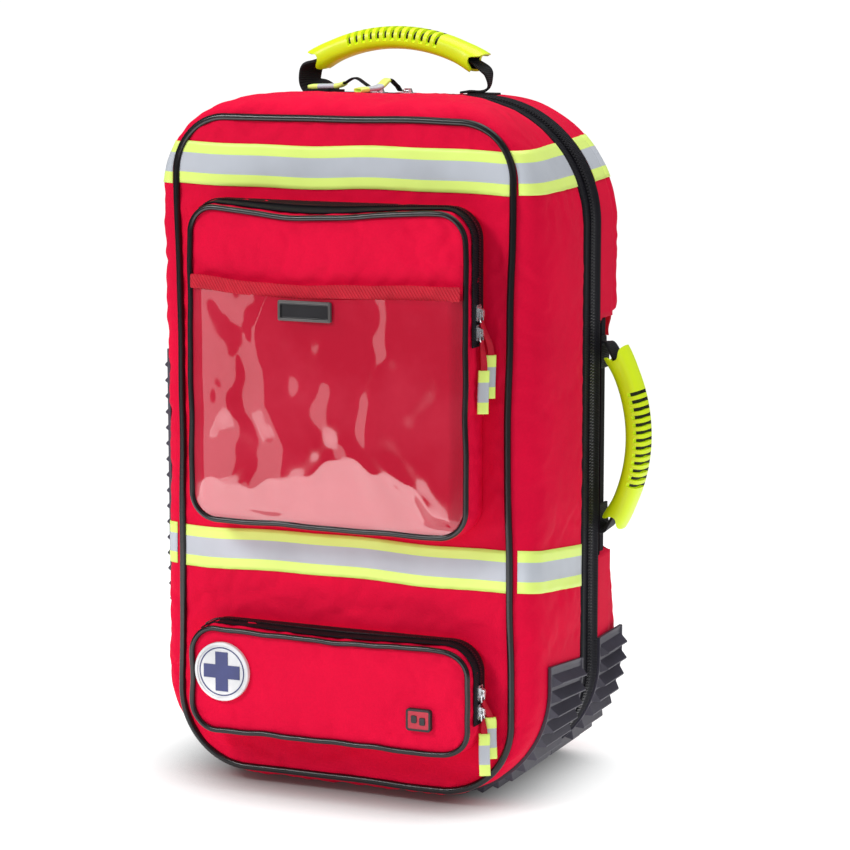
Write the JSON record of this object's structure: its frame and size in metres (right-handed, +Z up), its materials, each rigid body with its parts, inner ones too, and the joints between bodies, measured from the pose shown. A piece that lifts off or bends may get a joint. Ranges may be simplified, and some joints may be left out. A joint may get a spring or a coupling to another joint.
{
  "type": "trauma backpack",
  "caption": "Upright soft-sided rescue backpack with a side-opening lid, two front pockets, ribbed rubber skids, stowed harness and carrying handles on top and one side.",
  "frame": {"origin": "on the floor under the middle of the bag, on the rear half's rubber skid just behind the main zip", "axes": "+Z up, +X to the side with the side handle, -Y out of the front with the pockets, +Y towards the wearer's back"},
  "size_m": [0.4502, 0.2798, 0.715],
  "materials": {
    "red_fabric": "woven polyester, coated, satin",
    "panel_fabric": "padded divider cloth, matte",
    "reflective_tape": "silver retroreflective stripe between fluorescent edges",
    "piping": "semi-gloss piping",
    "zip_tape": "woven zip tape with a coil",
    "black_webbing": "ribbed webbing",
    "black_panel": "coarse coated cloth",
    "skid_rubber": "matte ribbed rubber",
    "clear_pvc": "gloss",
    "red_grosgrain": "diagonal ribbed ribbon",
    "tag_rubber": "matte with a grey border",
    "badge_white": "soft moulded patch, satin",
    "badge_navy": "satin",
    "patch_red": "moulded patch, satin",
    "grip_yellow": "fluorescent, satin",
    "slider_metal": "satin",
    "pull_tape": "woven tape with a reflective end",
    "pull_tape_black": "woven tape with a reflective end",
    "air_mesh": "spacer mesh",
    "sheet_plastic": "matte",
    "buckle_plastic": "satin"
  },
  "bodies": {
    "pack": {"rear_shell": "red_fabric", "rear_zip_tape": "zip_tape", "rear_skid": "skid_rubber", "side_panel": "black_panel", "rear_band": "reflective_tape", "frame_sheet": "sheet_plastic", "rear_dividers": "panel_fabric", "lumbar_housing": "red_fabric", "back_pad_left": "air_mesh", "back_pad_right": "air_mesh", "shoulder_strap_left": "air_mesh", "shoulder_strap_right": "air_mesh", "ladder_lock_left": "buckle_plastic", "ladder_lock_right": "buckle_plastic", "strap_webbing_left": "black_webbing", "strap_webbing_right": "black_webbing", "sternum_strap": "black_webbing", "sternum_clip": "buckle_plastic", "top_anchors": "black_webbing", "side_anchors": "black_webbing"},
    "lid": {"front_shell": "red_fabric", "front_piping": "piping", "front_zip_tape": "zip_tape", "front_skid": "skid_rubber", "upper_band": "reflective_tape", "lower_band": "reflective_tape", "upper_pocket": "red_fabric", "upper_pocket_piping": "piping", "upper_pocket_zip": "zip_tape", "pocket_window": "clear_pvc", "window_strip": "red_grosgrain", "id_tag": "tag_rubber", "lower_pocket": "red_fabric", "lower_pocket_piping": "piping", "lower_pocket_zip": "zip_tape", "badge_disc": "badge_white", "badge_cross": "badge_navy", "pocket_patch": "patch_red", "lid_dividers": "panel_fabric"},
    "cover": {"harness_cover": "red_fabric", "cover_band": "reflective_tape", "cover_tab": "red_fabric"},
    "top_handle": {"top_grip": "grip_yellow", "top_webbing": "black_webbing"},
    "side_handle": {"side_grip": "grip_yellow", "side_webbing": "black_webbing"},
    "main_slider_left": {"main_slider_left": "slider_metal"},
    "main_pull_left": {"main_pull_left": "pull_tape_black"},
    "main_slider_right": {"main_slider_right": "slider_metal"},
    "main_pull_right": {"main_pull_right": "pull_tape_black"},
    "upper_pocket_slider_high": {"upper_pocket_slider_high": "slider_metal"},
    "upper_pocket_slider_low": {"upper_pocket_slider_low": "slider_metal"},
    "upper_pocket_pull_high": {"upper_pocket_pull_high": "pull_tape"},
    "upper_pocket_pull_low": {"upper_pocket_pull_low": "pull_tape"},
    "lower_pocket_slider_high": {"lower_pocket_slider_high": "slider_metal"},
    "lower_pocket_slider_low": {"lower_pocket_slider_low": "slider_metal"},
    "lower_pocket_pull_high": {"lower_pocket_pull_high": "pull_tape"},
    "lower_pocket_pull_low": {"lower_pocket_pull_low": "pull_tape"}
  },
  "joints": [
    {"name": "lid_hinge", "type": "hinge", "parent": "pack", "child": "lid", "pos_m": [-0.203, -0.012, 0.33], "axis": [0, 0, -1], "range_deg": [0, 175]},
    {"name": "cover_hinge", "type": "hinge", "parent": "pack", "child": "cover", "pos_m": [0, 0.0553, 0.657], "axis": [1, 0, 0], "range_deg": [0, 110]},
    {"name": "top_handle_swing", "type": "hinge", "parent": "pack", "child": "top_handle", "pos_m": [-0.014, 0.0245, 0.6605], "axis": [1, 0, 0], "range_deg": [-40, 40]},
    {"name": "side_handle_swing", "type": "hinge", "parent": "pack", "child": "side_handle", "pos_m": [0.1947, 0.0245, 0.332], "axis": [0, 0, 1], "range_deg": [-20, 22]},
    {"name": "main_slider_left_travel", "type": "slide", "parent": "pack", "child": "main_slider_left", "axis": [-1, 0, 0], "range_m": [0, 0.06]},
    {"name": "main_pull_left_swing", "type": "hinge", "parent": "main_slider_left", "child": "main_pull_left", "pos_m": [-0.025, -0.012, 0.6616], "axis": [0, 1, 0], "range_deg": [0, 170]},
    {"name": "main_slider_right_travel", "type": "slide", "parent": "pack", "child": "main_slider_right", "axis": [1, 0, 0], "range_m": [0, 0.08]},
    {"name": "main_pull_right_swing", "type": "hinge", "parent": "main_slider_right", "child": "main_pull_right", "pos_m": [0.005, -0.012, 0.6616], "axis": [0, 1, 0], "range_deg": [0, 170]},
    {"name": "upper_pocket_slider_high_travel", "type": "slide", "parent": "lid", "child": "upper_pocket_slider_high", "axis": [0, 0, 1], "range_m": [0, 0.055]},
    {"name": "upper_pocket_slider_low_travel", "type": "slide", "parent": "lid", "child": "upper_pocket_slider_low", "axis": [0, 0, -1], "range_m": [0, 0.005]},
    {"name": "upper_pocket_pull_high_swing", "type": "hinge", "parent": "upper_pocket_slider_high", "child": "upper_pocket_pull_high", "pos_m": [0.1476, -0.1725, 0.4715], "axis": [0, -1, 0], "range_deg": [0, 150]},
    {"name": "upper_pocket_pull_low_swing", "type": "hinge", "parent": "upper_pocket_slider_low", "child": "upper_pocket_pull_low", "pos_m": [0.1476, -0.1725, 0.4535], "axis": [0, -1, 0], "range_deg": [0, 150]},
    {"name": "lower_pocket_slider_high_travel", "type": "slide", "parent": "lid", "child": "lower_pocket_slider_high", "axis": [0, 0, 1], "range_m": [0, 0.008]},
    {"name": "lower_pocket_slider_low_travel", "type": "slide", "parent": "lid", "child": "lower_pocket_slider_low", "axis": [0, 0, -1], "range_m": [0, 0.004]},
    {"name": "lower_pocket_pull_high_swing", "type": "hinge", "parent": "lower_pocket_slider_high", "child": "lower_pocket_pull_high", "pos_m": [0.1501, -0.1725, 0.118], "axis": [0, -1, 0], "range_deg": [0, 150]},
    {"name": "lower_pocket_pull_low_swing", "type": "hinge", "parent": "lower_pocket_slider_low", "child": "lower_pocket_pull_low", "pos_m": [0.1501, -0.1725, 0.1], "axis": [0, -1, 0], "range_deg": [0, 150]}
  ]
}
